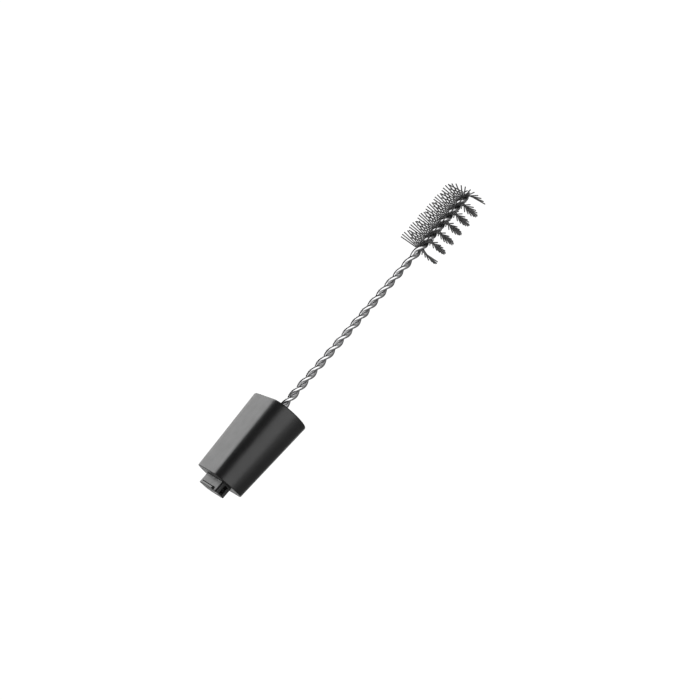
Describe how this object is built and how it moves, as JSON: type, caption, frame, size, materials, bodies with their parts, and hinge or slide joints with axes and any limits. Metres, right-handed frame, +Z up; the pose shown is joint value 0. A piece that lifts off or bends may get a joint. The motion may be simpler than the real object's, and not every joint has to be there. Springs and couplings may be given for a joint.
{
  "type": "twisted-wire cleaning brush",
  "caption": "Small twisted-wire cleaning brush on a long stem, held in a tapered stadium-section handle with a rectangular snap-in plug at its end.",
  "frame": {"origin": "bottom centre of the whole object's box; the stem axis is 6.15 mm above it", "axes": "+X along the stem axis from the handle towards the brush; +Z up, square to the handle's two flats; +Y across the handle's breadth"},
  "size_m": [0.1046, 0.0214, 0.0123],
  "materials": {
    "handle": "fine satin moulded black",
    "plug": "fine satin moulded black",
    "ferrule": "drawn and crimped",
    "wire": "bright drawn stainless wire",
    "bristle": "dark nylon filament"
  },
  "bodies": {
    "brush": {"handle_shell": "handle", "end_plug": "plug", "stem_ferrule": "ferrule", "stem_wire_a": "wire", "stem_wire_b": "wire", "bristle_row_01": "bristle", "bristle_row_02": "bristle", "bristle_row_03": "bristle", "bristle_row_04": "bristle", "bristle_row_05": "bristle", "bristle_row_06": "bristle", "bristle_row_07": "bristle", "bristle_row_08": "bristle", "bristle_row_09": "bristle", "bristle_row_10": "bristle", "bristle_row_11": "bristle", "bristle_row_12": "bristle"},
    "upper_catch": {"catch_upper": "plug"},
    "lower_catch": {"catch_lower": "plug"}
  },
  "joints": [
    {"name": "upper_catch_press", "type": "slide", "parent": "brush", "child": "upper_catch", "axis": [0, 0, -1], "range_m": [0, 0.00035], "stiffness_N_per_m": 900},
    {"name": "lower_catch_press", "type": "slide", "parent": "brush", "child": "lower_catch", "axis": [0, 0, 1], "range_m": [0, 0.00035], "stiffness_N_per_m": 900}
  ]
}
